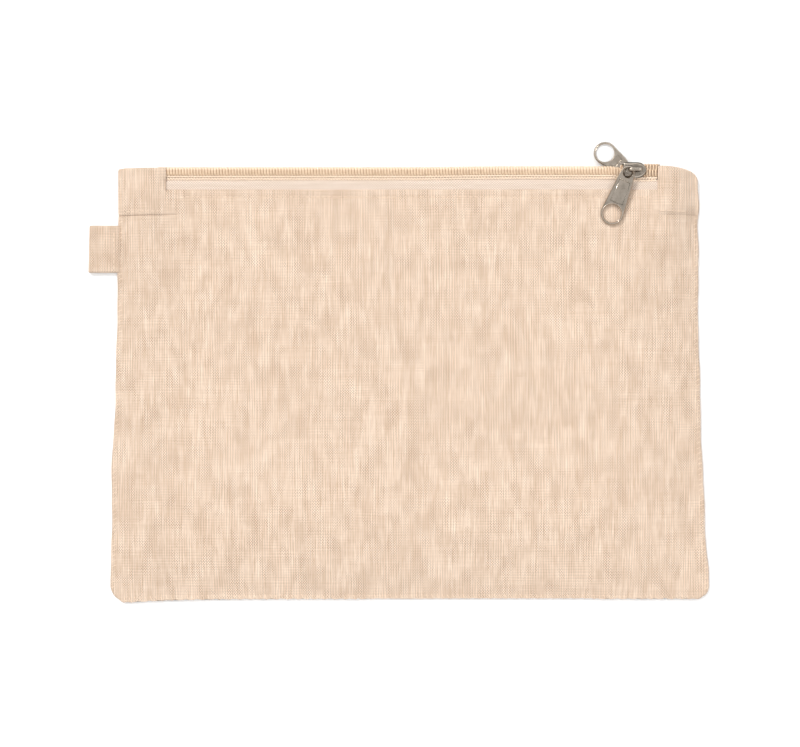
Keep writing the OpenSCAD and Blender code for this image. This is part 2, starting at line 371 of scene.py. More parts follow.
CLOTH_LIGHT = color(224, 204, 185)
CLOTH_DARK = color(197, 171, 148)
CLOTH_PATCH = color(190, 165, 143)
CLOTH_FLECK = color(110, 76, 52)
FLECK_SHARE = 0.62               # how strongly the dark seed flecks show
DOT_SHARE = 0.4                  # how strongly single thread crossings show
LINE_SHARE = 0.14                # the same for pairs of warp threads
ROW_SHARE = 0.075                # and for pairs of weft threads


def weave(g, pitch_x, pitch_y):
    """A plain weave: its relief, its check from -1 to 1, and the pairs of threads each way, -1 to 1."""
    x, y, _ = g.axes((1 / pitch_x, 1 / pitch_y, 1))
    x = g.math("ADD", x, g.spread(g.noise((0.05, 0.012, 0.1)), 0.3, 0.7, -0.9, 0.9))
    y = g.math("ADD", y, g.spread(g.noise((0.012, 0.05, 0.1)), 0.3, 0.7, -0.9, 0.9))
    sin_x = g.math("SINE", g.math("MULTIPLY", x, math.pi))
    sin_y = g.math("SINE", g.math("MULTIPLY", y, math.pi))
    across = g.math("ABSOLUTE", sin_x)
    along = g.math("ABSOLUTE", sin_y)
    check = g.math("MULTIPLY", sin_x, sin_y)
    warp = g.math("MULTIPLY", across, g.math("MULTIPLY_ADD", check, 0.5, 0.5))
    weft = g.math("MULTIPLY", along, g.math("MULTIPLY_ADD", check, -0.5, 0.5))
    pair = g.math("COSINE", g.math("MULTIPLY", x, math.pi))
    pick = g.math("COSINE", g.math("MULTIPLY", y, math.pi))
    return g.math("ADD", warp, weft), check, pair, pick


def canvas_material():
    """Unbleached canvas: uneven threads, faint patches, a few seed flecks, a bit darker at the left tab."""
    g = Graph("canvas")
    shade = g.spread(g.axes((1, 1, 1))[0], ZIP_X0 - 4, ZIP_X0 + 12, 0.955, 1.0)
    height, check, pair, pick = weave(g, 0.6, 0.66)
    warp_tone = g.noise((0.95, 0.075, 0.05), 3.0, 0.7)
    weft_tone = g.noise((0.03, 0.8, 0.05), 3.0, 0.7)
    thread_tone = g.math("ADD", g.math("MULTIPLY", warp_tone, 0.74), g.math("MULTIPLY", weft_tone, 0.26))
    patches = g.noise((0.17, 0.085, 0.1), 2.0, 0.55)
    dots = g.spread(g.noise((0.2, 0.11, 0.13), 2.0, 0.5), 0.46, 0.61, 0.05, 1.0)
    lines = g.spread(g.noise((0.23, 0.07, 0.17), 2.0, 0.5), 0.40, 0.62, 0.25, 1.0)
    rows = g.spread(g.noise((0.09, 0.2, 0.15), 2.0, 0.5), 0.46, 0.62, 0.15, 0.9)
    tone = g.mix(g.spread(thread_tone, 0.33, 0.68), CLOTH_LIGHT, CLOTH_DARK)
    tone = g.mix(g.spread(patches, 0.42, 0.70, 0.0, 0.6), tone, CLOTH_PATCH)
    speckle = g.math("MULTIPLY", g.math("MULTIPLY", check, dots), DOT_SHARE)
    stripe = g.math("MULTIPLY", g.math("MULTIPLY", pair, lines), LINE_SHARE)
    stripe = g.math("MULTIPLY_ADD", g.math("MULTIPLY", pick, rows), ROW_SHARE, stripe)
    ripple = g.math("ADD", g.math("MULTIPLY_ADD", dots, -0.05, 1.0), g.math("ADD", speckle, stripe))
    tone = g.mix(1.0, tone, g.math("MULTIPLY", ripple, shade), "MULTIPLY")
    cells = g.node("ShaderNodeTexVoronoi", feature="F1")
    g.put(cells.inputs["Vector"], g.coords((0.05, 0.05, 0.05)))
    cells.inputs["Scale"].default_value = 1.0
    near = g.spread(cells.outputs["Distance"], 0.012, 0.026, 1.0, 0.0)
    chosen = g.math("GREATER_THAN", g.parts(cells.outputs["Color"])[0], 0.6)
    fleck = g.math("MULTIPLY", g.math("MULTIPLY", near, chosen), FLECK_SHARE)
    tone = g.mix(fleck, tone, CLOTH_FLECK)
    fuzz = g.noise((5.0, 4.0, 5.0), 3.0, 0.7)
    relief = g.bump(height, 0.12, 0.6)
    relief = g.bump(thread_tone, 0.22, 0.5, relief)
    relief = g.bump(fuzz, 0.06, 0.4, relief)
    return g.done(g.spread(fuzz, 0.3, 0.7, 0.82, 0.96), relief, tone, Sheen_Weight=0.1,
                  Sheen_Roughness=0.6, Specular_IOR_Level=0.2)


def tape_material():
    g = Graph("zip_tape")
    height, check, _, _ = weave(g, 0.62, 0.6)
    ribs = g.noise((0.08, 2.4, 0.5), 2.0, 0.6)
    fuzz = g.noise((4.0, 5.0, 5.0), 2.0, 0.6)
    tone = g.mix(g.spread(ribs, 0.35, 0.65), color(216, 199, 185), color(205, 187, 171))
    # painted shade: the weave's low gaps between threads are mixed towards a darker colour
    tone = g.mix(g.math("MULTIPLY", g.math("SUBTRACT", 1.0, height), 0.3), tone, color(186, 160, 138))
    tone = g.mix(1.0, tone, g.math("MULTIPLY_ADD", check, 0.3, 1.0), "MULTIPLY")
    relief = g.bump(height, 0.12, 0.7)
    relief = g.bump(fuzz, 0.05, 0.4, relief)
    return g.done(g.spread(fuzz, 0.3, 0.7, 0.6, 0.78), relief, tone, Sheen_Weight=0.08,
                  Specular_IOR_Level=0.3)


def coil_material():
    """Beige nylon, with a painted highlight on the heads along the open half."""
    g = Graph("zip_coil")
    streak = g.noise((0.4, 1.2, 1.2), 3.0, 0.6)
    fine = g.noise((6.0, 6.0, 6.0), 2.0, 0.5)
    tone = g.mix(g.spread(streak, 0.35, 0.68), color(222, 196, 168), color(206, 178, 149))
    x, y, _ = g.axes((1, 1, 1))
    open_part = g.spread(x, MOUTH_END - 9, MOUTH_END + 1, 1.0, 0.0)
    # painted highlight: along the open half the coil's heads are mixed towards a paler colour, for light on
    # their rounded bends
    heads = g.math("MULTIPLY", g.spread(y, CHAIN_Y - 0.1, CHAIN_Y + 0.7), open_part)
    tone = g.mix(g.math("MULTIPLY", heads, 0.7), tone, color(238, 216, 192))
    relief = g.bump(fine, 0.03, 0.4)
    return g.done(g.spread(streak, 0.3, 0.7, 0.32, 0.5), relief, tone, Specular_IOR_Level=0.45,
                  Coat_Weight=0.08)


def thread_material(name, shade=1.0):
    g = Graph(name)
    x, y, z = g.axes((1, 1, 1))
    twist = g.math("SINE", g.math("MULTIPLY", g.math("ADD", x, g.math("ADD", y, z)), 14.0))
    fuzz = g.noise((7.0, 7.0, 7.0), 2.0, 0.6)
    tone = g.mix(g.spread(twist, -1.0, 1.0, 0.0, 0.5), color(240, 222, 202), color(224, 202, 179))
    tone = g.mix(g.spread(fuzz, 0.4, 0.7, 0.0, 0.3), tone, color(244, 229, 213))
    tone = g.mix(1.0, tone, (shade, shade * 0.97, shade * 0.94, 1), "MULTIPLY")
    relief = g.bump(twist, 0.05, 0.6)
    return g.done(g.spread(fuzz, 0.3, 0.7, 0.55, 0.75), relief, tone, Specular_IOR_Level=0.35)


def nickel_material(name, shade=1.0):
    g = Graph(name)
    scratches = g.noise((9.0, 0.7, 3.0), 4.0, 0.7)
    clouds = g.noise((0.35, 0.35, 0.35), 3.0, 0.6)
    pits = g.noise((6.0, 6.0, 6.0), 2.0, 0.5)
    tone = g.mix(g.spread(clouds, 0.35, 0.68), color(187, 176, 163), color(168, 157, 144))
    tone = g.mix(g.spread(pits, 0.62, 0.75, 0.0, 0.5), tone, color(120, 110, 98))
    tone = g.mix(1.0, tone, (shade, shade, shade, 1), "MULTIPLY")
    relief = g.bump(scratches, 0.015, 0.5)
    relief = g.bump(pits, 0.02, 0.35, relief)
    return g.done(g.spread(scratches, 0.35, 0.7, 0.12, 0.26), relief, tone, Metallic=1.0)


# ---------------------------------------------------------------- camera, light, floor

VIEW_WIDTH = 382.9               # what the camera takes in at half the bag's height
VIEW_X, VIEW_Y = -3.35, 4.79     # the picture's middle


def add_camera():
    """Straight down on the bag, from far enough for a flat view."""
    data = bpy.data.cameras.new("camera")
    data.lens = 85
    data.sensor_width = 36
    distance = VIEW_WIDTH * MM * data.lens / data.sensor_width
    camera = bpy.data.objects.new("camera", data)
    camera.location = (VIEW_X * MM, VIEW_Y * MM, distance + TOP_Z * 0.5 * MM)
    bpy.context.scene.collection.objects.link(camera)
    bpy.context.scene.camera = camera


def add_key_light():
    """One large lamp, 14 m away at the upper left and aimed at the bag."""
    place = Vector((-6.9, 8.1, 9.3))
    data = bpy.data.lights.new("key", "AREA")
    data.shape = "RECTANGLE"
    data.size, data.size_y = 3.0, 3.0
    data.energy = 1035
    light = bpy.data.objects.new("key", data)
    light.location = place
    light.rotation_euler = (-place).to_track_quat("-Z", "Y").to_euler()
    bpy.context.scene.collection.objects.link(light)


# Brightness of the surround by the sine of the height angle: 0 at the horizon, 1 straight overhead.
SKY = [(0.0, 0.95), (0.1, 0.9), (0.15, 0.06), (0.37, 0.08), (0.5, 0.5),
       (0.58, 2.4), (0.78, 2.3), (0.87, 1.0), (1.0, 0.92)]


def add_world():
    """Soft studio surround that changes with height, as SKY says."""
    world = bpy.data.worlds.new("studio")
    world.use_nodes = True
    tree = world.node_tree
    background = tree.nodes["Background"]
    where = tree.nodes.new("ShaderNodeTexCoord").outputs["Generated"]
    split = tree.nodes.new("ShaderNodeSeparateXYZ")
    tree.links.new(where, split.inputs[0])
    ramp = tree.nodes.new("ShaderNodeValToRGB")
    tree.links.new(split.outputs[2], ramp.inputs[0])
    stops = ramp.color_ramp.elements
    for stop, (place, level) in zip((stops[0], stops[1]), (SKY[0], SKY[-1])):
        stop.position = place
        stop.color = (level,) * 3 + (1,)
    for place, level in SKY[1:-1]:
        stops.new(place).color = (level,) * 3 + (1,)
    tree.links.new(ramp.outputs[0], background.inputs["Color"])
    background.inputs["Strength"].default_value = 0.84
    bpy.context.scene.world = world


def add_table():
    """A white table, 6 m wide, as the floor of the picture."""
    g = Graph("table")
    grain = g.noise((0.02, 0.02, 0.02), 3.0, 0.6)
    tone = g.mix(g.spread(grain, 0.3, 0.7), color(250, 250, 250), color(253, 253, 253))
    material = g.done(0.7, g.bump(grain, 0.02, 0.2), tone)
    half = 3000
    made = Builder()
    made.verts = [(-half, -half, -GAP), (half, -half, -GAP), (half, half, -GAP), (-half, half, -GAP)]
    made.faces = [(0, 1, 2, 3)]
    made.piece("table", material)


bpy.context.scene.view_settings.view_transform = "Standard"
add_camera()
add_world()
add_key_light()
add_table()
CANVAS = canvas_material()
TAPE_CLOTH = tape_material()
COIL = coil_material()
THREAD = thread_material("thread")
# painted shade: the cord is a darker copy of the thread, for the shaded gap inside the coil
CORD_PAINTED_SHADE = thread_material("cord", 0.78)
# painted light: the binding is a brightened copy of the thread, to make up for the coil's shade on its rows
BINDING_PAINTED_LIGHT = thread_material("binding", 1.07)
NICKEL = nickel_material("nickel")
# painted shade: the slider's nickel is a darker copy of the pulls' nickel, for its shaded, dark-reflecting
# middle
SLIDER_NICKEL_PAINTED_SHADE = nickel_material("slider_nickel_painted_shade", 0.72)


# ---------------------------------------------------------------- panels

def panel_rows(step):
    """Heights of a panel's rows of points, closer together round the bottom corners."""
    arc = BOTTOM_Y + CORNER_R * (1 - np.cos(np.radians(np.linspace(0, 90, 12))))
    straight = np.linspace(BOTTOM_Y + CORNER_R, HEM_Y, int((HEM_Y - BOTTOM_Y - CORNER_R) / step))
    return np.concatenate([arc, straight[1:]])


def panel_grid(rows, cols):
    """x and y of a grid that fills the outline between its two side seams."""
    share = np.linspace(0, 1, cols)
    share = share + 0.012 * np.sin(2 * math.pi * share)
    y = np.repeat(rows[:, None], cols, 1)
    x = left_x(y) + (right_x(y) - left_x(y)) * share[None, :]
    y = y - seam_bumps(x) * np.clip(1 - (y - BOTTOM_Y) / 12, 0, 1) ** 2
    return x, y


def front_panel():
    """The front: a folded hem along the zip, its stitched groove and a crease at each tab's foot."""
    rows = panel_rows(1.7)
    hem = HEM_Y - np.array([1.2, 0.8, 0.45, 0.2, 0.05])
    fine = np.concatenate([TAB_Y0 + np.linspace(-1.5, 1.5, 9), HEM_STITCH_Y + np.linspace(-1.8, 1.8, 11)])
    rows = np.sort(np.concatenate([rows[rows < hem[0] - 0.3], fine, hem]))
    x, y = panel_grid(rows, 180)
    z = top_z(x, y)
    fold = np.clip((y - (HEM_Y - 1.0)) / 1.0, 0, 1)
    z = z - 0.38 * (1 - np.sqrt(np.clip(1 - fold ** 2, 0, 1)))
    away = y - HEM_STITCH_Y
    dip = 0.16 * bell(away, 0.7) + 0.08 * bell(away, 1.8)
    z = z - dip * (1 + 0.25 * np.cos(2 * math.pi * x / STITCH_PITCH))
    crease = bell(y - TAB_Y0, 0.5)
    z = z - crease * (0.24 * smooth((ZIP_X0 + 9 - x) / 6) + 0.05 * smooth((x - ZIP_X1 + 3) / 3))
    thick = CLOTH * (1 - 0.35 * fold)
    low = np.maximum(z - thick, SEAM_Z - CLOTH)
    made = Builder()
    made.slab(grid(x, y, z), grid(x, y, low), CLOTH_RIM)
    return made.piece("front_panel_cloth", CANVAS, "bag", "front_panel")


def back_panel():
    """The back, flat on the table and lifted a little along its seams."""
    x, y = panel_grid(panel_rows(4), 100)
    edge = np.minimum(np.minimum(x - left_x(y), right_x(y) - x), y - BOTTOM_Y)
    lift = 0.35 * np.clip(1 - edge / 5, 0, 1) ** 2
    made = Builder()
    made.slab(grid(x, y, CLOTH + lift), grid(x, y, GAP + lift), CLOTH_RIM)
    return made.piece("back_panel_cloth", CANVAS, "bag", "back_panel")


# ---------------------------------------------------------------- end tabs and loop

def left_crown(d, span):
    """Top edge of the left tab, d in from the seam."""
    level = TAB_Y1 - 1.5 - 0.25 * d / span + 0.35 * smooth((d - span + 4.5) / 1.5)
    return level + 0.35 * np.exp(-d / 2.5) - 0.6 * np.exp(-d / 0.35)


def right_crown(d, span):
    """Top edge of the right tab, which falls away towards its seam."""
    return TAB_Y1 - 0.65 - 3.3 * (1 - d / span) ** 2.4 - 1.6 * np.exp(-d / 0.8)


def band_height(x, y):
    """Top of the front tape: under the hem, then down to the middle of the chain."""
    beside = top_z(x, np.full_like(y, HEM_Y - 3)) - 0.5
    z = beside + (np.minimum(beside, MID_Z - 0.1) - beside) * smooth((y - 94.5) / 3)
    return np.where(y < HEM_Y, np.minimum(z, top_z(x, y) - CLOTH - 0.1), z)


def tab_front(d, span, x, y, foot, below):
    """Height of a tab's front and the cloth's thickness; below is 1 beside the panel and 0 beside the zip."""
    near_fold = smooth((d - span + 3) / 3)
    z = top_z(x, y) + 0.12 + CLOTH
    z = z - 0.8 * smooth((d / span - 0.68) / 0.32) * below - foot * smooth((TAB_Y0 + 3 - y) / 3)
    z = z - 0.35 * near_fold * (1 - 0.6 * below)
    thick = CLOTH * (1 - 0.5 * smooth(d - span + 1))
    over = near_fold * smooth((97.6 - y) / 1.2) * smooth((y - HEM_Y + 0.5) / 1.5)
    z = z + (np.minimum(z, band_height(x, y) + thick + 0.08) - z) * over
    return z - 0.10 * bell(y - TAB_Y0 - TAB_STITCH, 0.6), thick


def tab_turn(crown, top):
    """y and z of a tab from its front at height top, round the top edge and down its back."""
    start = crown - TAB_TURN
    radius = min(TAB_TURN, top / 2 - 0.2)
    bend = np.radians(np.linspace(0, 90, 6))[1:]
    up = [(start + radius * math.sin(a), top - radius * (1 - math.cos(a))) for a in bend]
    down = [(start + radius * math.cos(a), GAP + radius * (1 - math.sin(a))) for a in bend]
    return up + down + [(y, GAP) for y in np.linspace(start, TAB_Y0, 8)[1:]]


def end_tab(name, node, edge, fold_x, crown_at, foot, run_on):
    """Folded cloth round the end of the zip: in front, over the top edge and behind.

    edge is the side seam, fold_x the tab's inner side and crown_at its top edge. foot is how far its
    lower edge sinks, and run_on how far its inner side runs on under the hem.
    """
    seam_x = edge(TAB_Y1)
    inward = 1 if fold_x > seam_x else -1
    span = abs(fold_x - seam_x)
    high = []
    low = []
    for d in np.concatenate([[0, 0.25, 0.6, 1.1, 1.8, 2.7, 3.8], np.linspace(5, span, 18)]):
        x = seam_x + inward * d
        crown = crown_at(d, span)
        flat_y = np.linspace(TAB_Y0, crown - TAB_TURN, 22)
        slant = 1 - (flat_y - TAB_Y0) / (TAB_Y1 - TAB_Y0)
        below = smooth((HEM_Y - 0.5 - flat_y) / 4)
        flat_x = x + (edge(TAB_Y0) - seam_x) * slant * (1 - d / span)
        flat_x = flat_x + inward * run_on * below * (d / span) ** 2
        face, thick = tab_front(d, span, flat_x, flat_y, foot, below)
        path = list(zip(flat_x, flat_y, face)) + [(x, py, pz) for py, pz in tab_turn(crown, face[-1])]
        path = np.array(path)
        tangent = np.gradient(path, axis=0)[:, 1:]
        tangent /= np.linalg.norm(tangent, axis=1)[:, None]
        inner = path.copy()
        inner[:, 1] += thick * tangent[:, 1]
        inner[:, 2] -= thick * tangent[:, 0]
        high.append(path)
        low.append(inner)
    if inward < 0:
        high.reverse()
        low.reverse()
    made = Builder()
    made.slab(np.array(high).transpose(1, 0, 2), np.array(low).transpose(1, 0, 2), CLOTH_RIM)
    return made.piece(name, CANVAS, "bag", node)


def side_loop():
    """A folded strip: out from the seam, round its tip and back."""
    tip = LOOP[0][0]
    root = LOOP[1][0] + 1.9
    y0, y1 = LOOP[0][1], LOOP[1][1]
    half_gap = 0.62
    bend_x = tip + 1.0
    reach = np.linspace(0, 1, 16)
    x_run = root + (bend_x - root) * reach
    open_up = half_gap * smooth(reach / 0.5) + 0.05
    upper = np.stack([x_run, LOOP_Z + open_up + CLOTH], -1)
    turn = np.radians(np.linspace(90, -90, 9))[1:-1]
    outer_r = half_gap + 0.05 + CLOTH
    bend = np.stack([bend_x - np.cos(turn), LOOP_Z + outer_r * np.sin(turn)], -1)
    lower = np.stack([x_run, LOOP_Z - open_up - CLOTH], -1)[::-1]
    path = np.concatenate([upper, bend, lower])
    tangent = np.gradient(path, axis=0)
    tangent /= np.linalg.norm(tangent, axis=1)[:, None]
    inner = path + CLOTH * np.stack([-tangent[:, 1], tangent[:, 0]], -1)
    ys = np.linspace(y0, y1, 26)
    crown = 0.10 * np.sin((ys - y0) / 22 * math.pi) + wave(ys, (0.05, 9, 0.4))
    skew = 0.5 * (ys - y0) / (y1 - y0)

    def spread_out(line):
        """The strip's side view, repeated across its width; the tip runs a little askew."""
        out = np.zeros((len(line), len(ys), 3))
        out[:, :, 0] = line[:, None, 0] + skew[None, :] * ((root - line[:, None, 0]) / (root - tip))
        out[:, :, 1] = ys[None, :]
        out[:, :, 2] = np.maximum(line[:, None, 1] + crown[None, :] * (line[:, None, 1] > LOOP_Z), 0.03)
        return out

    made = Builder()
    made.slab(spread_out(path), spread_out(inner), CLOTH_RIM)
    return made.piece("side_loop_cloth", CANVAS, None, "side_loop")


# ---------------------------------------------------------------- zip

def front_tape():
    """The tape between the hem and the coil, with a groove and a swell where the coil is sewn."""
    xs = np.linspace(TAPE_START, ZIP_X1 + 4, 180)
    ys = np.concatenate([np.linspace(84, HEM_Y, 6), np.linspace(HEM_Y + 0.4, CHAIN_Y - 1.3, 36)])
    x, y = np.meshgrid(xs, ys)
    z = band_height(x, y)
    z = z + 0.03 * wave(x, (1, 11, 0.3), (0.7, 7.3, 1.0)) * smooth((y - HEM_Y) / 2)
    z = z - 0.14 * bell(y - TAPE_GROOVE_Y, 0.35) + 0.12 * bell(y - TAPE_GROOVE_Y + 2.6, 1.2)
    made = Builder()
    made.slab(grid(x, y, z), grid(x, y, z - TAPE), TAPE_RIM)
    return made.piece("front_zip_tape_cloth", TAPE_CLOTH, "bag", "front_zip_tape")


def back_tape():
    """Low along the open mouth, and turned up behind the closed chain at the right."""
    xs = np.linspace(TAPE_START, ZIP_X1 + 1.2, 220)
    lift = smooth((xs - 107) / 5)
    steps = np.linspace(0, 1, 26)
    high = np.zeros((len(steps), len(xs), 3))
    for i, s in enumerate(steps):
        run = 17 + lift * 9
        along = s * run
        flat_len = 16.6 + lift * 3.6
        y = 84 + np.minimum(along, flat_len)
        climb = np.maximum(along - flat_len, 0)
        high[i, :, 0] = xs
        high[i, :, 1] = y + 0.4 * np.sin(np.clip(climb / 3, 0, 1) * math.pi / 2) * lift
        high[i, :, 2] = CLOTH + 0.05 + TAPE + climb * lift
    low = high - np.array([0, 0, TAPE])
    steep = high[:, :, 2] > 1.5
    low[steep] = high[steep] - np.array([0, TAPE, 0.05])
    made = Builder()
    made.slab(high, low, TAPE_RIM)
    return made.piece("back_zip_tape_cloth", TAPE_CLOTH, "bag", "back_zip_tape")


def open_share(x):
    """1 along the open mouth, 0 from the slider on."""
    return 1 - smooth((x - MOUTH_END) / 7)


def front_centre(x):
    """Middle of the front coil half, y and z."""
    shift = OPEN_SHIFT * (0.75 + 0.5 * smooth(x / 50))
    return FRONT_MID_Y + shift * open_share(x), np.full_like(x, MID_Z)


def back_centre(x):
    """Middle of the back coil half: low in the open mouth, then up to the slider."""
    climb = smooth((x - MOUTH_END - 1) / 6)
    return LOW_MID_Y + (BACK_MID_Y - LOW_MID_Y) * climb, LOW_MID_Z + (MID_Z - LOW_MID_Z) * climb


def coil_path(x0, x1, phase, centre, side):
    """A flattened spiral along +X; centre gives y and z, and side is the way its heads point."""
    turns = (x1 - x0) / PITCH
    per_turn = 14
    t = np.linspace(0, turns, int(turns * per_turn) + 1)
    a = 2 * math.pi * (t + phase)
    x = x0 + t * PITCH
    y_mid, z_mid = centre(x)
    y = y_mid + side * COIL_REACH * np.cos(a) * (1 + 0.06 * np.cos(2 * a))
    high = 0.36 + 0.26 * smooth((z_mid - 1.5) / 3) - 0.2 * (side > 0) * open_share(x)
    z = z_mid + high * np.sin(a)
    return np.stack([x + 0.16 * np.sin(2 * a), y, z], -1)


def coils():
    """The two halves of the coil; the front one's wire is thicker where it lies free."""
    front = Builder()
    path = coil_path(ZIP_X0 - 3.5, COIL_END, 0.0, front_centre, 1)
    front.tube(path, WIRE + 0.25 * open_share(path[:, 0]), 7)
    front.piece("front_coil", COIL, "bag", "front_zip_coil")
    back = Builder()
    back.tube(coil_path(ZIP_X0 + 0.3, COIL_END, 0.5, back_centre, -1), WIRE, 7)
    back.piece("back_coil", COIL, "bag", "back_zip_coil")


def coil_cords():
    """A cord of three strands inside each coil half; in the open mouth the front one keeps to the heel."""
    for name, node, centre, x0, drop in (
            ("front_cord", "front_coil_cord", front_centre, ZIP_X0 - 3.4, OPEN_SHIFT + 0.1),
            ("back_cord", "back_coil_cord", back_centre, ZIP_X0 + 0.4, 0)):
        xs = np.arange(x0, COIL_END, 0.8)
        y, z = centre(xs)
        y = y - drop * open_share(xs)
        made = Builder()
        for strand in (0, 1, 2):
            a = 2 * math.pi * (xs / 3.2 + strand / 3)
            thick = 0.3 - 0.1 * smooth((xs - SLIDER_X) / 4)
            made.tube(np.stack([xs, y + 0.42 * np.cos(a), z + 0.2 * np.sin(a)], -1), thick, 7)
        made.piece(name, CORD_PAINTED_SHADE, "bag", node)


# ---------------------------------------------------------------- stitching

def stitch(made, start, end, crown, radius=0.17):
    """One stitch that rises out of the cloth, runs along it and dives back in."""
    t = np.linspace(0, 1, 7)
    path = start[None, :] + (end - start)[None, :] * t[:, None]
    path[:, 2] += crown * np.sin(math.pi * t) ** 0.6 - 0.12
    made.tube(path, radius * (0.75 + 0.25 * np.sin(math.pi * t)), 6)


def stitch_row(name, node, points, crown, pitch=STITCH_PITCH, length=STITCH_LENGTH, body="bag"):
    """Stitches along a run of points, one every pitch."""
    points = np.asarray(points, float)
    steps = np.linalg.norm(np.diff(points, axis=0), axis=1)
    far = np.concatenate([[0], np.cumsum(steps)])
    made = Builder()
    for s in np.arange(0.3, far[-1] - length, pitch):
        start, end = [np.array([np.interp(v, far, points[:, k]) for k in range(3)]) for v in (s, s + length)]
        stitch(made, start, end, crown)
    made.piece(name, THREAD, body, node)


def zip_stitching():
    """The rows along both hems, and the hidden one that sews the low half of the coil to its tape."""
    xs = np.linspace(ZIP_X0 + 1, ZIP_X1 - 1, 300)
    hem_y = np.full_like(xs, HEM_STITCH_Y)
    tape_top = np.full_like(xs, CLOTH + 0.05 + TAPE)
    stitch_row("front_hem_stitches", "front_hem_thread", grid(xs, hem_y, top_z(xs, hem_y) - 0.2), 0.2)
    stitch_row("back_hem_stitches", "back_hem_thread", grid(xs, hem_y, tape_top), 0.18)
    xs = np.linspace(ZIP_X0 + 1, MOUTH_END - 9, 300)
    heel_y = np.full_like(xs, LOW_MID_Y - 1.4)
    stitch_row("back_coil_stitches", "back_coil_thread", grid(xs, heel_y, tape_top + 0.05), 0.2, PITCH, 1.1)


def coil_binding():
    """Two rows of slanted stitches that hold the front coil's heel to its tape.

    Each row has its distance from the coil's middle, the way that it slants and its height.
    """
    xs = np.arange(ZIP_X0 - 1, ZIP_X1 - 1.2, PITCH)
    middle = front_centre(xs)[0]
    for row, (drop, way, height) in enumerate(((2.45, 1, 0.3), (3.6, -1, 0.12))):
        made = Builder()
        for x, y in zip(xs, middle - drop):
            slope = np.array([0.75, 0.3 * way, 0])
            centre = np.array([x + 0.75, y, MID_Z + height])
            stitch(made, centre - slope, centre + slope, 0.12, 0.45)
        made.piece("front_coil_binding_%d" % row, BINDING_PAINTED_LIGHT, "bag")
    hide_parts("front_coil_thread")


def tab_stitching():
    """One row along the foot of each end tab."""
    for name, node, x0, x1 in (("left_tab_stitches", "left_tab_thread", -134.5, ZIP_X0 - 1),
                               ("right_tab_stitches", "right_tab_thread", ZIP_X1 + 1, 135)):
        xs = np.linspace(x0, x1, 40)
        y = np.full_like(xs, TAB_Y0 + TAB_STITCH)
        stitch_row(name, node, grid(xs, y, top_z(xs, y) + CLOTH - 0.06), 0.18)


def overlock(name, node, points, inward):
    """Thread loops that wrap a seam's edge, from the front to the back; inward points into the bag."""
    made = Builder()
    d = np.array([inward[0], inward[1], 0])
    along = np.array([-inward[1], inward[0], 0])
    for i, p in enumerate(points):
        depth = 2.1 + 0.25 * math.sin(i * 1.7)
        path = [p + d * depth + along * 0.9 + (0, 0, SEAM_Z + 0.06),
                p + d * depth * 0.5 + along * 0.4 + (0, 0, SEAM_Z + 0.08),
                p + d * 0.25 + (0, 0, SEAM_Z - 0.02),
                p - d * 0.22 + (0, 0, SEAM_Z * 0.62),
                p + d * 0.2 + (0, 0, 0.42),
                p + d * depth * 0.5 - along * 0.3 + (0, 0, 0.26),
                p + d * depth - along * 0.8 + (0, 0, 0.2)]
        made.tube(np.array(path), 0.13, 5)
    made.piece(name, THREAD, "bag", node)


def seams():
    """The overlocked edges: both sides up to the tabs, and the bottom."""
    step = 2.5
    ys = np.arange(BOTTOM_Y + 5, TAB_Y0 - 1, step)
    for name, node, edge, way in (("left_seam_overlock", "left_seam_thread", left_x, 1),
                                  ("right_seam_overlock", "right_seam_thread", right_x, -1)):
        overlock(name, node, [np.array([edge(y), y, 0]) for y in ys], (way, 0))
    xs = np.arange(left_x(BOTTOM_Y) + 1, right_x(BOTTOM_Y) - 1, step)
    points = [np.array([x, BOTTOM_Y - seam_bumps(x), 0]) for x in xs]
    overlock("bottom_seam_overlock", "bottom_seam_thread", points, (0, 1))


def loop_stitching():
    """One row across the loop's root."""
    ys = np.linspace(LOOP[0][1] + 1, LOOP[1][1] - 1, 20)
    x = np.full_like(ys, LOOP[1][0] - 0.9)
    z = np.full_like(ys, LOOP_Z + CLOTH + 0.32)
    stitch_row("loop_stitches", "loop_thread", grid(x, ys, z), 0.16, body="loop")


# ---------------------------------------------------------------- metal

EYE_X, EYE_R = 1.65, 3.2         # a pull's outline: its eye, from the pivot, then its neck and its ring
EYE_HOLE_R = 2.4
NECK_X = 5.6
RING_R = 5.5
PULL_HALF = 0.45                 # half a pull's thickness
PIVOT_X = SLIDER_X - 2.7         # the pulls turn about the bridges' left legs
NOSE_R = 3.6                     # of the slider's narrow end


def arc(cx, cy, r, a0, a1, count):
    """Points on a circle from angle a0 to a1, in degrees."""
    a = np.radians(np.linspace(a0, a1, count))
    return [(cx + r * math.cos(t), cy + r * math.sin(t)) for t in a]


def pull_outline(reach, neck_r, inset):
    """Outline of a pull along +X: a small round eye, a wider neck and a round ring end."""
    lean = math.degrees(math.asin((RING_R - neck_r) / (reach - NECK_X)))
    lean_eye = math.degrees(math.asin((neck_r - EYE_R) / (NECK_X - EYE_X)))
    shape = arc(reach, 0, RING_R - inset, -90 - lean, 90 + lean, 40)
    shape += arc(NECK_X, 0, neck_r - inset, 90 + lean, 90 + lean_eye, 5)
    shape += arc(EYE_X, 0, EYE_R - inset, 90 + lean_eye, 270 - lean_eye, 26)
    shape += arc(NECK_X, 0, neck_r - inset, 270 - lean_eye, 270 - lean, 5)
    return shape


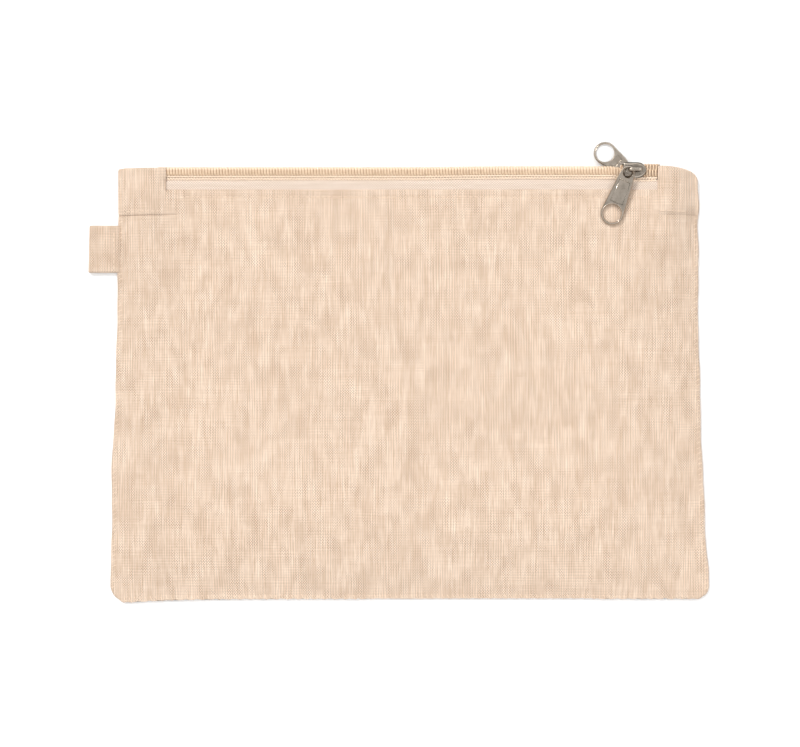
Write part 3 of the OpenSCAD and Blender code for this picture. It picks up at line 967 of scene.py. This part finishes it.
def plate_between(made, outer, holes, z0, z1, bevel, round_steps):
    """A flat plate with holes and bevelled rims; the bevel is a little wider than it is high."""
    squash = 0.8
    half = (z1 - z0) / 2
    curve = bpy.data.curves.new("outline", "CURVE")
    curve.dimensions = "2D"
    curve.fill_mode = "BOTH"
    curve.extrude = (half / squash - bevel) * MM
    curve.bevel_depth = bevel * MM
    curve.bevel_resolution = round_steps
    for loop in [outer] + holes:
        spline = curve.splines.new("POLY")
        spline.points.add(len(loop) - 1)
        for point, (px, py) in zip(spline.points, loop):
            point.co = (px * MM, py * MM, 0, 1)
        spline.use_cyclic_u = True
    holder = bpy.data.objects.new("outline", curve)
    bpy.context.scene.collection.objects.link(holder)
    bpy.context.view_layer.update()
    shape = bpy.data.meshes.new_from_object(holder.evaluated_get(bpy.context.evaluated_depsgraph_get()))
    base = len(made.verts)
    for v in shape.vertices:
        made.verts.append(np.array([v.co.x / MM, v.co.y / MM, v.co.z / MM * squash + (z0 + z1) / 2]))
    for f in shape.polygons:
        made.faces.append(tuple(base + i for i in f.vertices))
    bpy.data.objects.remove(holder)
    bpy.data.meshes.remove(shape)


def flat_path(points, z):
    return np.array([(px, py, z) for px, py in points])


def pull(body, reach, hole_r, neck_r, z, azimuth, tilt):
    """A pull with rolled rims, and on a long one a raised panel and a rib on each face.

    It is built along +X round its pivot, then tipped down by tilt and turned to azimuth, in degrees.
    """
    made = Builder()
    holes = [arc(reach, 0, hole_r + 0.3, 360, 7, 52), arc(EYE_X, 0, EYE_HOLE_R + 0.25, 360, 10, 36)]
    plate_between(made, pull_outline(reach, neck_r, 0.42), holes, -PULL_HALF, PULL_HALF, 0.4, 0)
    made.tube(flat_path(arc(reach, 0, hole_r + 0.3, 0, 352, 52), 0.05), 0.3, 10, closed=True, flat=1.5)
    made.tube(flat_path(arc(EYE_X, 0, EYE_HOLE_R + 0.3, 0, 350, 40), 0), 0.3, 10, closed=True, flat=1.35)
    x0, x1 = 6.2, reach - hole_r - 1.2
    if x1 - x0 > 2:
        panel = [(x0, -2.55), (x1, -2.85), (x1 + 0.3, 0), (x1, 2.85), (x0, 2.55)]
        for face in (PULL_HALF, -PULL_HALF):
            plate_between(made, panel, [], face - 0.2, face + 0.2, 0.24, 0)
            made.tube(np.array([(x0 - 0.5, v, face - 0.02) for v in np.linspace(-2.9, 2.9, 9)]), 0.28, 8)
    turn = Matrix.Rotation(math.radians(azimuth), 3, "Z") @ Matrix.Rotation(math.radians(tilt), 3, "Y")
    made.verts = list(np.array(made.verts) @ np.array(turn).T + (PIVOT_X, CHAIN_Y, z))
    made.piece(body + "_plate", NICKEL, body, body)


def slider_outline(inset):
    """The line on a slider plate that lies inset from its edge."""
    x0 = SLIDER[0][0] + inset
    x1 = SLIDER[1][0]
    nose = NOSE_R - inset
    nose_x = x1 - NOSE_R
    wide = (SLIDER[1][1] - SLIDER[0][1]) / 2 - inset
    shape = arc(nose_x, CHAIN_Y, nose, -78, 78, 24)
    shape += [(nose_x - 1.2, CHAIN_Y + nose - 0.25), (x0 + 3.4, CHAIN_Y + wide - 0.35)]
    shape += arc(x0 + 1.5, CHAIN_Y + wide - 1.5, 1.5, 80, 170, 8)
    shape += [(x0 + 0.55, CHAIN_Y + 0.9), (x0 + 0.9, CHAIN_Y), (x0 + 0.55, CHAIN_Y - 0.9)]
    shape += arc(x0 + 1.5, CHAIN_Y - wide + 1.5, 1.5, 190, 280, 8)
    shape += [(x0 + 3.4, CHAIN_Y - wide + 0.35), (nose_x - 1.2, CHAIN_Y - nose + 0.25)]
    return shape


def slider_shell(made, outside, inside):
    """One plate of the slider, domed on its outer face."""
    x0, x1 = SLIDER[0][0] + 0.1, SLIDER[1][0] - 0.05
    heel_r = 1.4
    wide = (SLIDER[1][1] - SLIDER[0][1]) / 2
    u = np.sin(np.linspace(-math.pi / 2, math.pi / 2, 44))
    v = np.sin(np.linspace(-math.pi / 2, math.pi / 2, 30))
    xs = (x0 + x1) / 2 + (x1 - x0) / 2 * u
    half = wide + (NOSE_R - wide) * (xs - x0) / (x1 - x0)
    past = np.clip(xs - (x1 - NOSE_R), 0, NOSE_R)
    half = np.where(past > 0, np.sqrt(np.maximum(NOSE_R ** 2 - past ** 2, 0.02)), half)
    back = np.clip(heel_r - (xs - x0), 0, heel_r)
    half = half - (heel_r - np.sqrt(heel_r ** 2 - back ** 2)) * 0.9
    x = np.repeat(xs[:, None], len(v), 1)
    y = CHAIN_Y + half[:, None] * v[None, :]
    edge = np.maximum(np.abs(v)[None, :], np.clip(1 - (x - x0) / 2.6, 0, 1))
    dome = 0.62 * edge ** 5 + 0.12 * np.cos((x - x0) * 1.1) * (1 - edge ** 2)
    way = 1 if outside > inside else -1
    outer = grid(x, y, outside - way * dome)
    inner = grid(x, y, np.full_like(x, inside))
    if way > 0:
        made.slab(outer.transpose(1, 0, 2), inner.transpose(1, 0, 2), 0.2)
    else:
        made.slab(inner.transpose(1, 0, 2), outer.transpose(1, 0, 2), 0.2)


def slider():
    """Two plates with rounded rims, the flanges along their sides and the wedge post between them."""
    (x0, _, z0), (x1, _, z1) = SLIDER
    made = Builder()
    slider_shell(made, z1, z1 - 0.9)
    slider_shell(made, z0, z0 + 0.9)
    for z in (z1 - 0.1, z0 + 0.1):
        made.tube(flat_path(slider_outline(1.5), z), 0.3, 8, closed=True, flat=0.9)
    for side in (-1, 1):
        for z in (MID_Z + 0.85, MID_Z - 0.85):
            run = [(x, CHAIN_Y + side * (3.2 + 0.12 * (SLIDER_X - x) / 5), z)
                   for x in np.linspace(x0 + 1.2, x1 - NOSE_R - 0.3, 12)]
            made.tube(np.array(run), 0.4, 8)
    post = [(x0 + x, CHAIN_Y + y) for x, y in
            ((0.8, 0), (2.0, 0.55), (3.4, 0.5), (4.2, 0), (3.4, -0.5), (2.0, -0.55))]
    plate_between(made, post, [], z0 + 0.8, z1 - 0.8, 0.25, 3)
    # the plates take the darker nickel: painted shade
    made.piece("slider_plates", SLIDER_NICKEL_PAINTED_SHADE, "slider", "slider_body")


def bridge(node, foot_z, way):
    """A bar bent over a slider plate, thicker across the top; way is 1 above the slider and -1 under it."""
    low, high = box_mm(node)
    x0, x1 = low[0] + 0.45, high[0] - 0.45
    r = 0.9
    crown = (high if way > 0 else low)[2] - way * 0.4
    path = [(x0, CHAIN_Y, foot_z), (x0, CHAIN_Y, (foot_z + crown) / 2), (x0, CHAIN_Y, crown - way * r)]
    path += [(x0 + r - r * math.cos(a), CHAIN_Y, crown - way * r + way * r * math.sin(a))
             for a in np.radians([20, 40, 60, 80])]
    path += [(x, CHAIN_Y, crown) for x in np.linspace(x0 + r, x1 - r, 6)]
    path += [(x1 - r + r * math.sin(a), CHAIN_Y, crown - way * r + way * r * math.cos(a))
             for a in np.radians([20, 40, 60, 80])]
    path += [(x1, CHAIN_Y, crown - way * r), (x1, CHAIN_Y, (foot_z + crown) / 2), (x1, CHAIN_Y, foot_z)]
    path = np.array(path)
    made = Builder()
    n = len(path)
    tangent = np.gradient(path, axis=0)
    tangent /= np.linalg.norm(tangent, axis=1)[:, None]
    across = np.array([0, 1.0, 0])
    normal = np.cross(tangent, across)
    sides = 16
    a = np.linspace(0, 2 * math.pi, sides, endpoint=False)
    square = 0.7                 # 1 gives a round bar, less a squarer one
    cu = np.sign(np.cos(a)) * np.abs(np.cos(a)) ** square
    su = np.sign(np.sin(a)) * np.abs(np.sin(a)) ** square
    reach = abs(crown - foot_z)
    for i in range(n):
        half = 0.4 + 0.3 * smooth((abs(path[i, 2] - foot_z) / reach - 0.7) / 0.3)
        for k in range(sides):
            made.verts.append(path[i] + half * cu[k] * across + 0.38 * su[k] * normal[i])
    for i in range(n - 1):
        for k in range(sides):
            k1 = (k + 1) % sides
            made.faces.append((i * sides + k, (i + 1) * sides + k, (i + 1) * sides + k1, i * sides + k1))
    made.faces.append(tuple(range(sides)))
    made.faces.append(tuple((n - 1) * sides + k for k in reversed(range(sides))))
    made.piece(node + "_bar", NICKEL, "slider", node)


def metal():
    slider()
    bridge("front_bridge", SLIDER[1][2] - 0.2, 1)
    bridge("back_bridge", SLIDER[0][2] + 0.2, -1)
    pull("front_pull", reach=22.3, hole_r=4.5, neck_r=4.05, z=SLIDER[1][2] + 1.5, azimuth=-111.4, tilt=4.0)
    pull("back_pull", reach=14.06, hole_r=4.45, neck_r=4.35, z=SLIDER[0][2] - 1.1, azimuth=140.2, tilt=9.5)


# ---------------------------------------------------------------- the whole bag

front_cloth = front_panel()
back_cloth = back_panel()
left_tab = end_tab("left_tab_cloth", "left_end_tab", left_x, ZIP_X0, left_crown, foot=0.3, run_on=11.0)
right_tab = end_tab("right_tab_cloth", "right_end_tab", right_x, ZIP_X1, right_crown, foot=0.61, run_on=7.0)
loop_cloth = side_loop()
front_band = front_tape()
back_band = back_tape()
coils()
coil_cords()
zip_stitching()
coil_binding()
tab_stitching()
seams()
loop_stitching()
metal()

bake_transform(loop_cloth)
